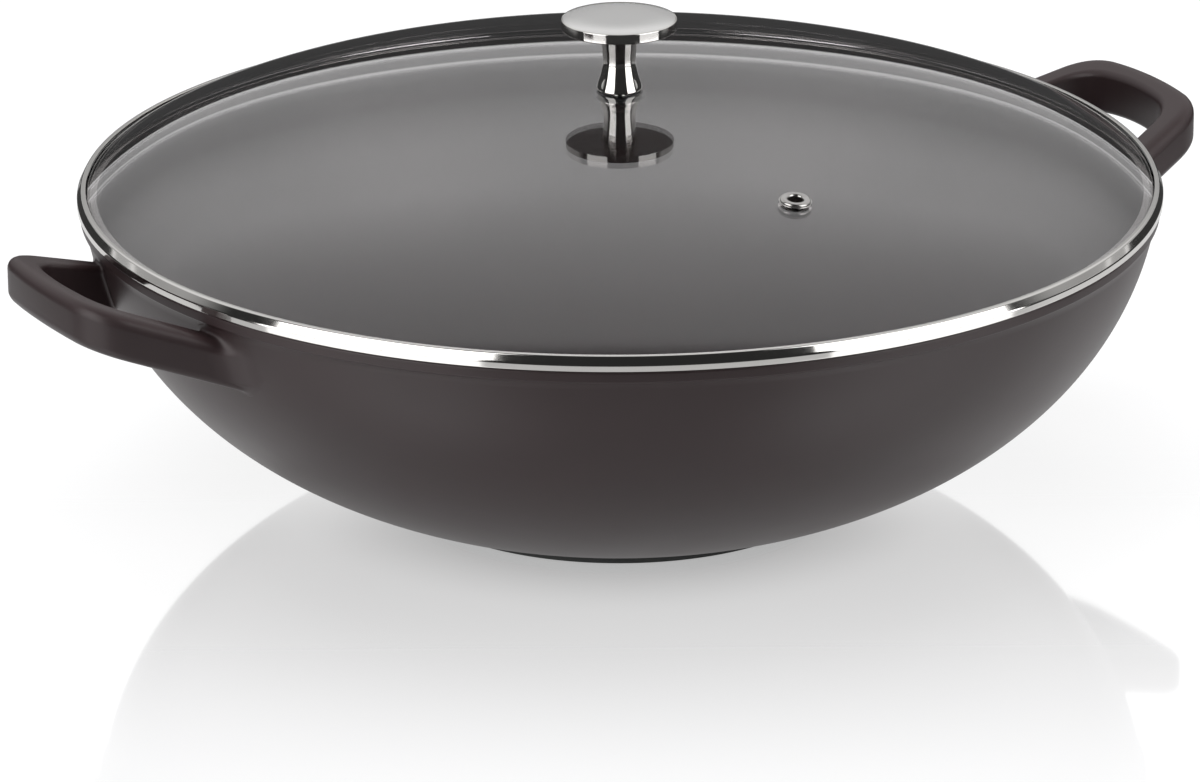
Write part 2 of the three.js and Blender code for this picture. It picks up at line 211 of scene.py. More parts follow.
def enamelledIron():  # cast iron under matt black-brown enamel: soft wide sheen, faint orange peel
    material, tree, shader = newMaterial("matt enamelled cast iron")
    coords = addNode(tree, "ShaderNodeTexCoord")
    peel = addNode(tree, "ShaderNodeTexNoise", links={"Vector": coords.outputs["Object"]})
    peel.inputs["Scale"].default_value = 1 / (1.6 * mm)  # 1.6 mm orange peel
    peel.inputs["Detail"].default_value = 2
    cloud = addNode(tree, "ShaderNodeTexNoise", links={"Vector": coords.outputs["Object"]})
    cloud.inputs["Scale"].default_value = 1 / (38 * mm)  # 38 mm clouds in the enamel
    tint = addNode(tree, "ShaderNodeMix", {"data_type": "RGBA"}, {"Factor": cloud.outputs["Fac"]})
    tint.inputs["A"].default_value = hexLinear("#291e1f")
    tint.inputs["B"].default_value = hexLinear("#2f2122")
    tree.links.new(tint.outputs["Result"], shader.inputs["Base Color"])
    gloss = addNode(tree, "ShaderNodeMapRange", links={"Value": cloud.outputs["Fac"]})
    gloss.inputs["To Min"].default_value = 0.38
    gloss.inputs["To Max"].default_value = 0.46
    tree.links.new(gloss.outputs["Result"], shader.inputs["Roughness"])
    bump = addNode(tree, "ShaderNodeBump", links={"Height": peel.outputs["Fac"]})
    bump.inputs["Distance"].default_value = 0.02 * mm
    bump.inputs["Strength"].default_value = 0.5
    tree.links.new(bump.outputs["Normal"], shader.inputs["Normal"])
    shader.inputs["Specular IOR Level"].default_value = 0.4
    return material


def groundIron():  # foot ground flat after enamelling: grey, duller than the enamel, fine grinding marks
    material, tree, shader = newMaterial("ground cast iron")
    coords = addNode(tree, "ShaderNodeTexCoord")
    marks = addNode(tree, "ShaderNodeTexNoise", links={"Vector": coords.outputs["Object"]})
    marks.inputs["Scale"].default_value = 1 / (0.8 * mm)  # 0.8 mm grinding marks
    tint = addNode(tree, "ShaderNodeMix", {"data_type": "RGBA"}, {"Factor": marks.outputs["Fac"]})
    tint.inputs["A"].default_value = hexLinear("#585a59")
    tint.inputs["B"].default_value = hexLinear("#616362")
    tree.links.new(tint.outputs["Result"], shader.inputs["Base Color"])
    shader.inputs["Roughness"].default_value = 0.7
    shader.inputs["Specular IOR Level"].default_value = 0.15
    return material


def temperedGlass():  # clear tempered soda-lime glass: sharp reflections, nearly no colour
    material, _, shader = newMaterial("tempered lid glass")
    shader.inputs["Base Color"].default_value = hexLinear("#f8f6f7")
    shader.inputs["Roughness"].default_value = 0.0
    shader.inputs["IOR"].default_value = 1.52
    shader.inputs["Transmission Weight"].default_value = 1.0
    return material


def stainless(name, colour, clear, hazy):  # mirror whose roughness goes from clear to hazy in patches
    material, tree, shader = newMaterial(name)
    shader.inputs["Metallic"].default_value = 1.0
    shader.inputs["Base Color"].default_value = hexLinear(colour)
    coords = addNode(tree, "ShaderNodeTexCoord")
    haze = addNode(tree, "ShaderNodeTexNoise", links={"Vector": coords.outputs["Object"]})
    haze.inputs["Scale"].default_value = 1 / (6 * mm)  # 6 mm patches of polishing haze
    gloss = addNode(tree, "ShaderNodeMapRange", links={"Value": haze.outputs["Fac"]})
    gloss.inputs["To Min"].default_value = clear
    gloss.inputs["To Max"].default_value = hazy
    tree.links.new(gloss.outputs["Result"], shader.inputs["Roughness"])
    return material


def satinStainless():  # bead-blasted stainless: even light grey, soft highlight
    material, tree, shader = newMaterial("satin blasted stainless steel")
    shader.inputs["Metallic"].default_value = 1.0
    shader.inputs["Base Color"].default_value = hexLinear("#dddcdb")
    coords = addNode(tree, "ShaderNodeTexCoord")
    grit = addNode(tree, "ShaderNodeTexNoise", links={"Vector": coords.outputs["Object"]})
    grit.inputs["Scale"].default_value = 1 / (0.4 * mm)  # 0.4 mm blasting marks
    gloss = addNode(tree, "ShaderNodeMapRange", links={"Value": grit.outputs["Fac"]})
    gloss.inputs["To Min"].default_value = 0.2
    gloss.inputs["To Max"].default_value = 0.28
    tree.links.new(gloss.outputs["Result"], shader.inputs["Roughness"])
    bump = addNode(tree, "ShaderNodeBump", links={"Height": grit.outputs["Fac"]})
    bump.inputs["Distance"].default_value = 0.01 * mm
    tree.links.new(bump.outputs["Normal"], shader.inputs["Normal"])
    return material


def mouldedSilicone():  # moulded silicone rubber: dark, dull, slightly uneven
    material, tree, shader = newMaterial("moulded silicone rubber")
    coords = addNode(tree, "ShaderNodeTexCoord")
    dull = addNode(tree, "ShaderNodeTexNoise", links={"Vector": coords.outputs["Object"]})
    dull.inputs["Scale"].default_value = 1 / (1.5 * mm)  # 1.5 mm unevenness
    tint = addNode(tree, "ShaderNodeMix", {"data_type": "RGBA"}, {"Factor": dull.outputs["Fac"]})
    tint.inputs["A"].default_value = hexLinear("#26272a")
    tint.inputs["B"].default_value = hexLinear("#2d2e31")
    tree.links.new(tint.outputs["Result"], shader.inputs["Base Color"])
    shader.inputs["Roughness"].default_value = 0.6
    return material


iron = enamelledIron()
bareIron = groundIron()
glass = temperedGlass()
steel = stainless("polished stainless steel", "#d2d0cd", 0.05, 0.1)
tumbledSteel = stainless("tumbled stainless steel", "#b2b0ae", 0.2, 0.26)  # softer mirror of small parts
satin = satinStainless()
silicone = mouldedSilicone()
print("materials made")


# Casting: bowl, foot, rim and both handles

bowl = {
    "rimRadius": 178.4,
    "rimHeight": 104.8,
    "footRadius": 73.2,
    "footEdge": 3.3,
    "curveRise": 16.4,  # centre of the wall's curve above the rim
    "exponent": 2.168,  # 2 would be a plain ellipse
    "wall": 4.0,
    "floor": 6.0,
    "lip": 0.7,
    "lipHeight": 3.5,
    "edge": 0.6,
    "lipEdge": 0.9,
    "bareShare": 0.97,  # part of the foot's side that is ground bare
    "segments": 288,
    "wallSteps": 56,
}
power = bowl["exponent"]
curveZ = bowl["rimHeight"] + bowl["curveRise"]
ratio = (bowl["footRadius"] / bowl["rimRadius"]) ** power
curveHigh = bowl["curveRise"] ** power
downInverse = (1 - ratio) / ((curveZ - bowl["footEdge"]) ** power - ratio * curveHigh)
curveDown = downInverse ** (-1 / power)
curveAcross = bowl["rimRadius"] * (1 - curveHigh * downInverse) ** (-1 / power)


def curveRadius(inset, z):  # radius of the wall's superellipse at a height, inset from the outside
    depth = (curveZ - z) / (curveDown - inset)
    return (curveAcross - inset) * (1 - depth**power) ** (1 / power)


def curveRun(inset, zStart, zEnd, count):  # stretch of that curve
    down = curveDown - inset
    start, end = (math.asin(((curveZ - z) / down) ** (power / 2)) for z in (zStart, zEnd))
    heights = [curveZ - down * math.sin(t) ** (2 / power) for t in spread(start, end, count)]
    return [(curveRadius(inset, z), z) for z in heights]


def bowlOutline(b):
    lipR, lipZ = b["rimRadius"] + b["lip"], b["rimHeight"] - b["lipHeight"]
    outside = curveRun(0, b["footEdge"], lipZ - b["lip"], b["wallSteps"])
    inside = curveRun(b["wall"], b["rimHeight"], b["floor"], b["wallSteps"])
    foot = rounded([(0, 0, 0), (b["footRadius"], 0, b["edge"]), (*outside[0], 0)])
    lip = rounded(
        [
            (*outside[-1], 0),
            (lipR, lipZ, b["edge"]),
            (lipR, b["rimHeight"], b["lipEdge"]),
            (*inside[0], b["edge"]),
            (*inside[1], 0),
        ]
    )
    return [*foot[:-1], *outside, *lip[1:-1], *inside[1:], (0, b["floor"])]


def wallGap(p):  # signed distance in mm to the outside of the wall, and the wall's normal there
    radius = math.hypot(p.x, p.y)
    depth = max(curveZ - p.z, 0)
    size = ((radius / curveAcross) ** power + (depth / curveDown) ** power) ** (1 / power)
    out = size ** (1 - power) * radius ** (power - 1) / curveAcross**power
    down = size ** (1 - power) * depth ** (power - 1) / curveDown**power
    slope = Vector((out * p.x / radius, out * p.y / radius, -down))
    return (size - 1) / slope.length, slope.normalized()


handle = {
    "reach": cadHigh.x / mm,  # middle of the bowl to the outer face of the grip
    "halfWidth": 32.6,
    "flare": 0.36,
    "grip": 9.0,
    "arm": 11.0,
    "bow": 3.9,
    "thickness": 15.2,
    "slope": math.tan(math.radians(20)),
    "drop": 5.75,
    "outerCorner": 11.5,
    "innerCorner": 9.0,
    "topEdge": 5.0,  # roundings of the grip's section
    "outerEdge": 2.8,
    "innerEdge": 2.0,
    "filletOut": 11.0,  # reach of the root's fillet along the wall, outside the loop
    "filletIn": 3.5,
    "filletUp": 3.0,
    "filletDown": 1.5,
    "buried": 1.5,  # end of the fillet, into the wall
    "overlap": 0.5,  # and along it
    "armShare": 0.9,  # most of the arm that a fillet may take
    "aimRounds": 8,  # steps to find where the arm meets the wall
    "bendSteps": 14,
    "spanSteps": 20,
    "cornerSteps": 7,
    "armSteps": 6,
    "filletSteps": 14,
}


def bowed(start, pull, end, t):  # point on a curve from start to end, drawn towards pull
    return start * (1 - t) ** 2 + pull * 2 * t * (1 - t) + end * t * t


def handleLoop(h):  # plan outlines of the loop as matching lists of outer and inner points
    def outline(reach, halfWidthAt, corner):
        tip = Vector((reach - h["bow"], halfWidthAt(reach - h["bow"])))
        armX = tip.x - corner / math.hypot(1, h["flare"])
        arm = Vector((armX, halfWidthAt(armX)))
        barY = tip.y - corner
        bar = Vector((reach - h["bow"] * (barY / tip.y) ** 2, barY))
        middle = Vector((2 * reach - bar.x, 0))
        other = Vector((bar.x, -bar.y))
        bend = [bowed(arm, tip, bar, t) for t in spread(0, 1, h["bendSteps"])]
        span = [bowed(bar, middle, other, t) for t in spread(0, 1, h["spanSteps"])]
        mirrored = [Vector((p.x, -p.y)) for p in reversed(bend)]
        return bend + span[1:-1] + mirrored

    def outer(x):
        return h["halfWidth"] + h["flare"] * (h["reach"] - x)

    def inner(x):
        return outer(x) - h["arm"] * math.hypot(1, h["flare"])

    outside = outline(h["reach"], outer, h["outerCorner"])
    inside = outline(h["reach"] - h["grip"], inner, h["innerCorner"])
    return outside, inside


def handleSection(h, outerPoint, innerPoint):  # ring of points and normals across the loop
    across = (outerPoint - innerPoint).normalized()
    width = (outerPoint - innerPoint).length
    topZ = bowl["rimHeight"] - h["drop"]
    corners = [
        (0, 0, h["innerEdge"]),
        (width, 0, h["outerEdge"]),
        (width, h["thickness"], h["topEdge"]),
        (0, h["thickness"], h["innerEdge"]),
    ]
    ring = []
    for i, (s, v, edge) in enumerate(corners):
        centre = Vector((s + (edge if s == 0 else -edge), v + (edge if v == 0 else -edge)))
        start = math.pi + i * math.pi / 2
        for t in spread(start, start + math.pi / 2, h["cornerSteps"]):
            n = Vector((math.cos(t), math.sin(t)))
            at = innerPoint + across * (centre.x + edge * n.x)
            z = topZ + h["slope"] * (at.x - bowl["rimRadius"]) - h["thickness"] + centre.y + edge * n.y
            ring.append((Vector((at.x, at.y, z)), Vector((across.x * n.x, across.y * n.x, n.y)), n.x))
        if i % 2 == 0:  # a line along the middle of the flat bottom and top
            outerRounding = corners[i + 1][2] if v == 0 else edge
            at = innerPoint + across * (h["innerEdge"] + width - outerRounding) / 2
            z = topZ + h["slope"] * (at.x - bowl["rimRadius"]) - (h["thickness"] if v == 0 else 0)
            ring.append((Vector((at.x, at.y, z)), Vector((0, 0, -1 if v == 0 else 1)), 0.0))
    return ring


def handleRoot(h, ring, inward):  # rings from the arm down its fillet into the wall
    arms, fillets, ends = [], [], []
    for at, normal, sideways in ring:
        hit = at.copy()
        for _ in range(h["aimRounds"]):
            gap, slope = wallGap(hit)
            hit -= inward * gap / inward.dot(slope)
        gap, slope = wallGap(hit)
        side = h["filletOut"] if sideways > 0 else h["filletIn"]
        level = h["filletUp"] if normal.z > 0 else h["filletDown"]
        reach = 1 / math.hypot(sideways / side, normal.z / level)
        along = (normal - slope * normal.dot(slope)).normalized()
        start = hit - inward * min(reach, (hit - at).length * h["armShare"])
        end = hit + along * reach
        sag, endSlope = wallGap(end)
        arms.append([at.lerp(start, t) for t in spread(0, 1, h["armSteps"])][1:])
        shares = spread(0, 1, h["filletSteps"])[1:]
        fillets.append([bowed(start, hit, end, t) - endSlope * sag * t**4 for t in shares])
        last = fillets[-1][-1]
        ends.append([last + along * h["overlap"] - endSlope * h["buried"]])
    lines = [a + f + e for a, f, e in zip(arms, fillets, ends)]
    return [list(ringPoints) for ringPoints in zip(*lines)]


def makeHandle(h, turn):
    outer, inner = handleLoop(h)
    sections = [handleSection(h, o, i) for o, i in zip(outer, inner)]
    first, last = sections[0], sections[-1]
    flare = h["flare"] / math.hypot(1, h["flare"])
    level = 1 / math.hypot(1, h["flare"])
    rise = -h["slope"] * level
    startRoot = handleRoot(h, first, Vector((-level, flare, rise)).normalized())
    endRoot = handleRoot(h, last, Vector((-level, -flare, rise)).normalized())
    rings = [*reversed(startRoot), *[[p for p, _, _ in s] for s in sections], *endRoot]
    bm = bmesh.new()
    spun = Matrix.Rotation(turn, 3, "Z")
    made = [[bm.verts.new(spun @ p * mm) for p in ring] for ring in rings]
    for ring, after in zip(made, made[1:]):
        for j in range(len(ring)):
            k = (j + 1) % len(ring)
            bm.faces.new((ring[j], ring[k], after[k], after[j]))
    bm.faces.new(made[0])
    bm.faces.new(made[-1])
    return meshObject("handle", bm, iron)


casting = spin("wok_body", bowlOutline(bowl), iron, bowl["segments"])
for turn in (0, math.pi):
    cut(casting, makeHandle(handle, turn), "UNION")
casting.data.materials.append(bareIron)
bareZ = bowl["footEdge"] * bowl["bareShare"] * mm
for face in casting.data.polygons:
    face.material_index = 1 if face.center.z < bareZ else 0
dress(casting, "wok", "cast_iron", "wok_casting")
print("casting made:", len(casting.data.vertices), "vertices")


# Lid: glass, rim band and seal

lid = {
    "glass": 3.5,
    "crown": 662.0,  # radius of the dome at its top
    "shoulderPower": 10,  # how late the dome turns down to its edge
    "edgeSlope": math.radians(34),
    "grind": 0.6,
    "knobHole": 4.3,
    "crowding": 1.5,  # more steps near the edge
    "segments": 288,
    "steps": 72,
}
band = {
    "sheet": 0.5,
    "bevelHeight": 2.55,  # steep shoulder between the wall of the band and its lip
    "bevelWidth": 1.45,
    "bevelFoot": 1.5,  # roundings at both ends of the shoulder
    "bevelHead": 0.9,
    "lip": 1.55,
    "cover": 0.8,  # part of the lip that lies over the glass
    "skirt": 5.6,
    "skirtGap": 0.8,  # skirt to the inside of the wok
    "glassGap": 0.4,
    "edge": 0.18,
    "outerEdge": 0.36,
    "edgeSteps": 8,
}
bandLow, bandHigh = (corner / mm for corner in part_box("lid_rim_band"))
bandBottom = bandLow.z + band["skirt"]
lipRadius = bandHigh.x - band["bevelWidth"] - band["lip"]
edgeSine, edgeCosine = math.sin(lid["edgeSlope"]), math.cos(lid["edgeSlope"])
edgeR = lipRadius + band["cover"] * edgeCosine
edgeZ = bandHigh.z - band["sheet"] - band["glassGap"] - band["cover"] * edgeSine
shoulderSlope = edgeSine / edgeCosine - edgeR / lid["crown"]
shoulderDrop = shoulderSlope * edgeR / lid["shoulderPower"]
crownTop = edgeZ + edgeR**2 / (2 * lid["crown"]) + shoulderDrop


def domeHeight(r):
    return crownTop - r**2 / (2 * lid["crown"]) - shoulderDrop * (r / edgeR) ** lid["shoulderPower"]


def domeSlope(r):
    return math.atan(r / lid["crown"] + shoulderSlope * (r / edgeR) ** (lid["shoulderPower"] - 1))


def domeFace(depth, startRadius):  # face of the dome from the knob hole out to the edge
    face = []
    for share in spread(1, 0, lid["steps"]):
        r = edgeR + (startRadius - edgeR) * share ** lid["crowding"]
        slope = domeSlope(r)
        face.append((r - depth * math.sin(slope), domeHeight(r) - depth * math.cos(slope)))
    return face


def glassOutline():
    under, over = domeFace(lid["glass"], lid["knobHole"]), domeFace(0, lid["knobHole"])
    edge = rounded(
        [(*under[-2], 0), (*under[-1], lid["grind"]), (*over[-1], lid["grind"]), (*over[-2], 0)]
    )
    return [*under[:-2], *edge, *reversed(over[:-2])]


vent = {
    "radius": 107.7,
    "turn": math.radians(1.3),  # the loose lid lies a little turned
    "bore": 2.5,
    "tube": 0.7,
    "gap": 0.2,
    "washerRadius": 5.4,
    "washer": 0.35,
    "roll": 5.0,
    "rollHeight": 0.75,
    "flare": 4.9,
    "flareHeight": 0.7,
    "boreEdge": 0.35,  # roundings
    "flareEdge": 0.2,
    "tubeEdge": 0.1,
    "washerEdge": 0.2,
    "washerBoreEdge": 0.15,
    "drill": 9.0,  # reach of the drill to both sides of the glass
    "edgeSteps": 8,
    "rollSteps": 24,
    "washerSteps": 4,
    "segments": 96,
}
ventSpot = Vector((0, -vent["radius"], domeHeight(vent["radius"])))
ventLean = Matrix.Translation(ventSpot * mm) @ Matrix.Rotation(domeSlope(vent["radius"]), 4, "X")
ventPlace = Matrix.Rotation(vent["turn"], 4, "Z") @ ventLean

glassPiece = spin("glass_dome", glassOutline(), glass, lid["segments"])
holeRadius = vent["bore"] + vent["tube"] + vent["gap"]
drillEnd = vent["drill"]
drillOutline = [(0, -drillEnd), (holeRadius, -drillEnd), (holeRadius, drillEnd), (0, drillEnd)]
drill = spin("drill", drillOutline, glass, vent["segments"])
drill.data.transform(ventPlace)
cut(glassPiece, drill, "DIFFERENCE")
dress(glassPiece, "lid", "lid_glass", "lid_glass")


def bandOutline(b):
    skirtInner, skirtOuter = skirtRadius - b["sheet"], skirtRadius
    edge, sheet = b["edge"], b["sheet"]
    outerR, top = bandHigh.x, bandHigh.z
    headR, footZ = outerR - b["bevelWidth"], top - b["bevelHeight"]
    lean = math.atan2(b["bevelWidth"], b["bevelHeight"])  # of the shoulder, from upright
    innerHeadR = headR - sheet * math.tan((math.pi / 2 - lean) / 2)
    innerFootZ = footZ - sheet * math.tan(lean / 2)
    return rounded(
        [
            (skirtInner, bandLow.z, edge),
            (skirtOuter, bandLow.z, edge),
            (skirtOuter, bandBottom, edge),
            (outerR, bandBottom, b["outerEdge"]),
            (outerR, footZ, b["bevelFoot"]),
            (headR, top, b["bevelHead"]),
            (lipRadius, top, edge),
            (lipRadius, top - sheet, edge),
            (innerHeadR, top - sheet, b["bevelHead"] - sheet),
            (outerR - sheet, innerFootZ, b["bevelFoot"] - sheet),
            (outerR - sheet, bandBottom + sheet, edge),
            (skirtInner, bandBottom + sheet, edge),
        ],
        b["edgeSteps"],
    )


skirtRadius = curveRadius(bowl["wall"], bandLow.z) - band["skirtGap"]
bandPiece = spin("rim_band", bandOutline(band), steel, lid["segments"])
dress(bandPiece, "lid", "polished_steel", "lid_rim_band")

seal = {
    "glassGap": 0.3,
    "edge": 0.15,
    "edgeSteps": 3,
}
sealLow, sealHigh = (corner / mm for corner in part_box("lid_edge_seal"))


def sealOutline(s):  # wedge whose slanted face follows the edge of the glass
    faceR = edgeR + s["glassGap"] / edgeCosine
    lowR, highR = (faceR - (edgeZ - z) * edgeSine / edgeCosine for z in (sealLow.z, sealHigh.z))
    corners = [
        (lowR, sealLow.z, s["edge"]),
        (sealHigh.x, sealLow.z, s["edge"]),
        (sealHigh.x, sealHigh.z, s["edge"]),
        (highR, sealHigh.z, s["edge"]),
    ]
    return rounded(corners, s["edgeSteps"])


sealPiece = spin("edge_seal", sealOutline(seal), silicone, lid["segments"])
dress(sealPiece, "lid", "silicone", "lid_edge_seal")
print("lid made")


# Knob with its screw and washers

knob = {
    "foot": 7.4,
    "bulge": 7.6,
    "bulgeHeight": 0.8,
    "waist": 5.45,
    "waistHeight": 9.6,
    "hollow": 0.3,  # how far the side falls in, halfway from the bulge to the waist
    "throat": 5.85,
    "neck": 6.4,
    "bore": 2.7,
    "recess": 0.7,  # thin rim of the foot round the upper washer
    "recessRadius": 6.6,
    "spigot": 3.2,
    "spigotHeight": 1.3,
    "threadDepth": 11.2,
    "sharp": math.radians(50),  # edges that bend more than this stay sharp
    "sideSteps": 10,
    "segments": 128,
}


def smoothRun(points, count):  # curve through points, as many steps between each pair
    run = []
    for i in range(len(points) - 1):
        before, start = points[max(i - 1, 0)], points[i]
        end, after = points[i + 1], points[min(i + 2, len(points) - 1)]
        for t in spread(0, 1, count)[:-1]:
            a, b = (end - before) / 2, (after - start) / 2
            run.append(
                start * (2 * t**3 - 3 * t**2 + 1)
                + a * (t**3 - 2 * t**2 + t)
                + end * (3 * t**2 - 2 * t**3)
                + b * (t**3 - t**2)
            )
    return [(p.x, p.y) for p in run] + [tuple(points[-1])]


stemLow, stemHigh = (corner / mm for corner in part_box("knob_stem"))
capLow, capHigh = (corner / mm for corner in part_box("knob_cap"))
stemZ = stemLow.z - knob["recess"]
neckZ = stemHigh.z - knob["spigotHeight"]


def stemOutline(k):
    bulge = Vector((k["bulge"], stemZ + k["bulgeHeight"]))
    waist = Vector((k["waist"], stemZ + k["waistHeight"]))
    side = smoothRun(
        [
            Vector((k["foot"], stemZ)),
            bulge,
            (bulge + waist) / 2 - Vector((k["hollow"], 0)),
            waist,
            Vector((k["throat"], (waist.y + neckZ) / 2)),
            Vector((k["neck"], neckZ)),
        ],
        k["sideSteps"],
    )
    seatZ = stemZ + k["recess"]
    return [
        (0, seatZ + k["threadDepth"]),
        (k["bore"], seatZ + k["threadDepth"]),
        (k["bore"], seatZ),
        (k["recessRadius"], seatZ),
        (k["recessRadius"], stemZ),
        *side,
        (k["spigot"], neckZ),
        (k["spigot"], stemHigh.z),
        (0, stemHigh.z),
    ]


stemPiece = spin("knob_stem_turned", stemOutline(knob), steel, knob["segments"])
stemPiece.data.set_sharp_from_angle(angle=knob["sharp"])
dress(stemPiece, "lid", "polished_steel", "knob_stem")

cap = {
    "edge": 3.4,
    "crownPower": 6,  # nearly flat in the middle, falling away towards the edge
    "rounding": 0.4,
    "topRounding": 0.3,
    "satinRadius": 18.6,
    "socket": 3.4,
    "socketDepth": 1.3,
    "topSteps": 30,
}


def capOutline(c):
    edgeZ = capLow.z + c["edge"]
    crown = capHigh.z - edgeZ
    radii = spread(capHigh.x, 0, c["topSteps"])
    top = [(r, edgeZ + crown * (1 - (r / capHigh.x) ** c["crownPower"])) for r in radii]
    socketZ = capLow.z + c["socketDepth"]
    rim = rounded(
        [
            (c["socket"], capLow.z, 0),
            (capHigh.x, capLow.z, c["rounding"]),
            (capHigh.x, edgeZ, c["topRounding"]),
            (*top[1], 0),
        ]
    )
    return [(0, socketZ), (c["socket"], socketZ), *rim, *top[2:]]


def polishEdge(piece, c):  # satin top, polished edge and underside
    piece.data.materials.append(steel)
    for face in piece.data.polygons:
        onTop = face.center.z > (capLow.z + c["edge"]) * mm
        inside = math.hypot(face.center.x, face.center.y) < c["satinRadius"] * mm
        face.material_index = 0 if onTop and inside else 1


capPiece = spin("knob_disc", capOutline(cap), satin, knob["segments"])
polishEdge(capPiece, cap)
capPiece.data.set_sharp_from_angle(angle=knob["sharp"])
dress(capPiece, "lid", "satin_steel", "knob_cap")


washers = {
    "bore": knob["bore"],
    "edge": 0.2,
    "lowerEdge": 0.3,
    "lowerThickness": 1.2,  # of the lower washer's disc, below its collar
    "collarGap": 0.2,  # collar to the hole in the glass
    "edgeSteps": 4,
}


def washer(name, node, material, slot, w):
    low, high = (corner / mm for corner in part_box(node))
    bore, edge = w["bore"], w["edge"]
    corners = [(bore, low.z, edge), (high.x, low.z, edge), (high.x, high.z, edge), (bore, high.z, edge)]
    piece = spin(name, rounded(corners, w["edgeSteps"]), material, knob["segments"])
    dress(piece, "lid", slot, node)


def collarOutline(w):
    low, high = (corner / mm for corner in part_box("knob_lower_washer"))
    collar, discTop = lid["knobHole"] - w["collarGap"], low.z + w["lowerThickness"]
    corners = [
        (w["bore"], low.z, w["edge"]),
        (high.x, low.z, w["lowerEdge"]),
        (high.x, discTop, w["lowerEdge"]),
        (collar, discTop, w["edge"]),
        (collar, high.z, w["edge"]),
        (w["bore"], high.z, w["edge"]),
    ]
    return rounded(corners, w["edgeSteps"])


washer("upper_washer", "knob_upper_washer", silicone, "silicone", washers)
washer("plain_washer", "knob_steel_washer", steel, "polished_steel", washers)
lowerPiece = spin("collar_washer", collarOutline(washers), silicone, knob["segments"])
dress(lowerPiece, "lid", "silicone", "knob_lower_washer")

screw = {
    "shank": 2.5,
    "flat": 3.4,
    "headHeight": 3.0,
    "headSide": 1.4,
    "crownEdge": 1.0,  # roundings of the pan head
    "sideEdge": 1.2,
    "edge": 0.2,
    "chamfer": 0.6,
    "tipEdge": 0.1,
    "recess": 1.1,
    "recessDepth": 1.6,
    "sharp": math.radians(40),
    "edgeSteps": 5,
    "segments": 64,
}
screwLow, screwHigh = (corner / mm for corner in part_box("knob_screw"))


def makeScrew(s):
    headTop = screwLow.z + s["headHeight"]
    outline = rounded(
        [
            (0, screwLow.z, 0),
            (s["flat"], screwLow.z, s["crownEdge"]),
            (screwHigh.x, headTop - s["headSide"], s["sideEdge"]),
            (screwHigh.x, headTop, s["edge"]),
            (s["shank"], headTop, s["edge"]),
            (s["shank"], screwHigh.z - s["chamfer"], s["tipEdge"]),
            (s["shank"] - s["chamfer"], screwHigh.z, s["tipEdge"]),
            (0, screwHigh.z, 0),
        ],
        s["edgeSteps"],
    )
    piece = spin("cross_head_screw", outline, steel, s["segments"])
    for turn in (0, math.pi / 2):
        bm = bmesh.new()
        bmesh.ops.create_cube(bm, size=1)
        size = Vector((screwHigh.x, s["recess"], 2 * s["recessDepth"])) * mm
        bmesh.ops.scale(bm, vec=size, verts=bm.verts)
        bmesh.ops.rotate(bm, cent=(0, 0, 0), matrix=Matrix.Rotation(turn, 3, "Z"), verts=bm.verts)
        bmesh.ops.translate(bm, vec=(0, 0, screwLow.z * mm), verts=bm.verts)
        cut(piece, meshObject("recess", bm, steel), "DIFFERENCE")
    piece.data.set_sharp_from_angle(angle=s["sharp"])
    return piece


dress(makeScrew(screw), "lid", "polished_steel", "knob_screw")
print("knob made")


# Steam vent

def ventPiece(name, outline, node):
    piece = spin(name, outline, tumbledSteel, vent["segments"])
    piece.data.transform(ventPlace)
    dress(piece, "lid", "polished_steel", node)


def eyeletOutline(v):
    tube = v["bore"] + v["tube"]
    rollZ = 2 * v["gap"] + v["washer"]
    flareZ = -lid["glass"] - 2 * v["gap"] - v["washer"]
    middle, reach = (v["roll"] + v["bore"]) / 2, (v["roll"] - v["bore"]) / 2
    turns = spread(0, math.pi, v["rollSteps"])
    rolled = [(middle + reach * math.cos(a), rollZ + v["rollHeight"] * math.sin(a)) for a in turns]
    below = rounded(
        [
            (v["bore"], flareZ - v["flareHeight"], v["boreEdge"]),
            (v["flare"], flareZ - v["flareHeight"], v["flareEdge"]),
            (v["flare"], flareZ, v["flareEdge"]),
            (tube, flareZ, v["tubeEdge"]),
            (tube, rollZ, v["tubeEdge"]),
        ],
        v["edgeSteps"],
    )
    return [*below, *rolled]


def ventRing(v, z):
    inner, outer, top = holeRadius, v["washerRadius"], z + v["washer"]
    corners = [
        (inner, z, v["washerBoreEdge"]),
        (outer, z, v["washerEdge"]),
        (outer, top, v["washerEdge"]),
        (inner, top, v["washerBoreEdge"]),
    ]
    return rounded(corners, v["washerSteps"])


ventUnder = -lid["glass"] - vent["gap"] - vent["washer"]  # foot of the ring below the glass
ventPiece("vent_rivet", eyeletOutline(vent), "vent_eyelet")
ventPiece("vent_flange", ventRing(vent, vent["gap"]), "vent_upper_washer")
ventPiece("vent_backing_ring", ventRing(vent, ventUnder), "vent_lower_washer")
print("vent made")


# Stage: white table, grey light tent, softboxes and lamps

cameraTurn = math.radians(cameraSet["azimuth"])
toCamera = Vector((math.sin(cameraTurn), -math.cos(cameraTurn), 0))
toRight = Vector((-toCamera.y, toCamera.x, 0))


def around(turn, distance, height):  # place on the stage, by degrees from the camera towards its right
    angle = math.radians(turn)
    return (toCamera * math.cos(angle) + toRight * math.sin(angle)) * distance + Vector((0, 0, height))


def stagePiece(name, points, faces, material):
    mesh = bpy.data.meshes.new(name)
    mesh.from_pydata(points, [], faces)
    mesh.materials.append(material)
    piece = bpy.data.objects.new(name, mesh)
    scene.collection.objects.link(piece)
    return piece


def raySwitch(tree, *kinds):  # 1 for the named kinds of ray, 0 for others
    path = addNode(tree, "ShaderNodeLightPath")
    value = path.outputs[kinds[0]]
    for kind in kinds[1:]:
        both = {0: value, 1: path.outputs[kind]}
        value = addNode(tree, "ShaderNodeMath", {"operation": "MAXIMUM"}, both).outputs[0]
    return value


